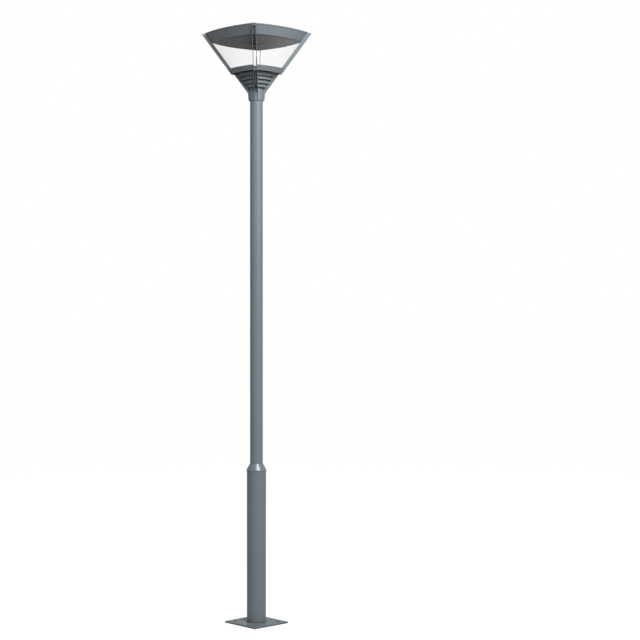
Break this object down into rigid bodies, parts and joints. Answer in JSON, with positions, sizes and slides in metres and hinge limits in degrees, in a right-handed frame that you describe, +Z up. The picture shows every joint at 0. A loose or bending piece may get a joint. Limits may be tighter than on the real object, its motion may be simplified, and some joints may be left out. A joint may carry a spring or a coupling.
{
  "type": "street lamp post",
  "caption": "Round stepped post on a square base plate, with an inverted pyramid lantern held by slanting arms under a square canopy with a downward LED light.",
  "frame": {"origin": "centre of the base plate's underside", "axes": "+Z up along the post; the base plate's sides run along X and Y, and the fins and arms stand on its diagonals"},
  "size_m": [0.5012, 0.5156, 3.5245],
  "materials": {
    "post_paint": "satin powder coat, blue grey",
    "underside_paint": "matt powder coat, dark grey",
    "clear_panel": "clear",
    "steel": "satin",
    "zinc_steel": "zinc plated",
    "aluminium": "mill finish",
    "black_rubber": "matt",
    "cable_jacket": "matt",
    "white_plastic": "moulded",
    "grey_plastic": "moulded",
    "brass": "bright",
    "ceramic": "glazed",
    "board_white": "solder mask",
    "lens_clear": "optical",
    "window_glass": "toughened"
  },
  "bodies": {
    "post": {"base_plate": "post_paint", "lower_tube": "post_paint", "reducer_cone": "post_paint", "centring_rings": "zinc_steel", "upper_tube": "post_paint", "lock_bar": "zinc_steel", "gear_tray": "zinc_steel", "fuse_block": "grey_plastic", "earth_stud": "brass", "riser_cable": "cable_jacket", "collar": "post_paint", "collar_set_screws": "steel", "lower_ring": "post_paint", "canopy_skirt": "post_paint", "underside_plate": "underside_paint", "lid_gasket": "black_rubber", "arm_brackets": "post_paint", "hinge_pin": "steel", "hinge_knuckles": "post_paint", "light_window": "window_glass", "window_frame": "aluminium", "led_board": "board_white", "led_lenses": "lens_clear", "heat_sink": "aluminium", "led_driver": "white_plastic", "surge_protector": "grey_plastic", "terminal_block": "white_plastic", "fin_front": "post_paint", "arm_front": "post_paint", "fin_right": "post_paint", "arm_right": "post_paint", "fin_rear": "post_paint", "arm_rear": "post_paint", "fin_left": "post_paint", "arm_left": "post_paint", "louvre_1": "post_paint", "louvre_2": "post_paint", "louvre_3": "post_paint", "louvre_4": "post_paint", "panel_right_front": "clear_panel", "panel_right_rear": "clear_panel", "panel_left_rear": "clear_panel", "panel_left_front": "clear_panel"},
    "door": {"access_door": "post_paint", "door_seal": "black_rubber"},
    "door_screw": {"door_lock_screw": "steel"},
    "fuse_drawer": {"fuse_carrier": "white_plastic", "fuse_link": "ceramic"},
    "lid": {"canopy_lid": "post_paint", "lid_knuckle": "post_paint"},
    "lid_screw_left": {"lid_screw_left": "steel"},
    "lid_screw_right": {"lid_screw_right": "steel"}
  },
  "joints": [
    {"name": "door_slide", "type": "slide", "parent": "post", "child": "door", "axis": [-1, 0, 0], "range_m": [0, 0.12]},
    {"name": "door_screw_turn", "type": "hinge", "parent": "door", "child": "door_screw", "pos_m": [-0.057, 0, 0.5], "axis": [1, 0, 0], "continuous": true},
    {"name": "fuse_slide", "type": "slide", "parent": "post", "child": "fuse_drawer", "axis": [-1, 0, 0], "range_m": [0, 0.02]},
    {"name": "lid_hinge", "type": "hinge", "parent": "post", "child": "lid", "pos_m": [0, 0.259, 3.509], "axis": [-1, 0, 0], "range_deg": [0, 100]},
    {"name": "lid_screw_left_turn", "type": "hinge", "parent": "lid", "child": "lid_screw_left", "pos_m": [-0.07, -0.235, 3.51], "axis": [0, 0, 1], "continuous": true},
    {"name": "lid_screw_right_turn", "type": "hinge", "parent": "lid", "child": "lid_screw_right", "pos_m": [0.07, -0.235, 3.51], "axis": [0, 0, 1], "continuous": true}
  ]
}
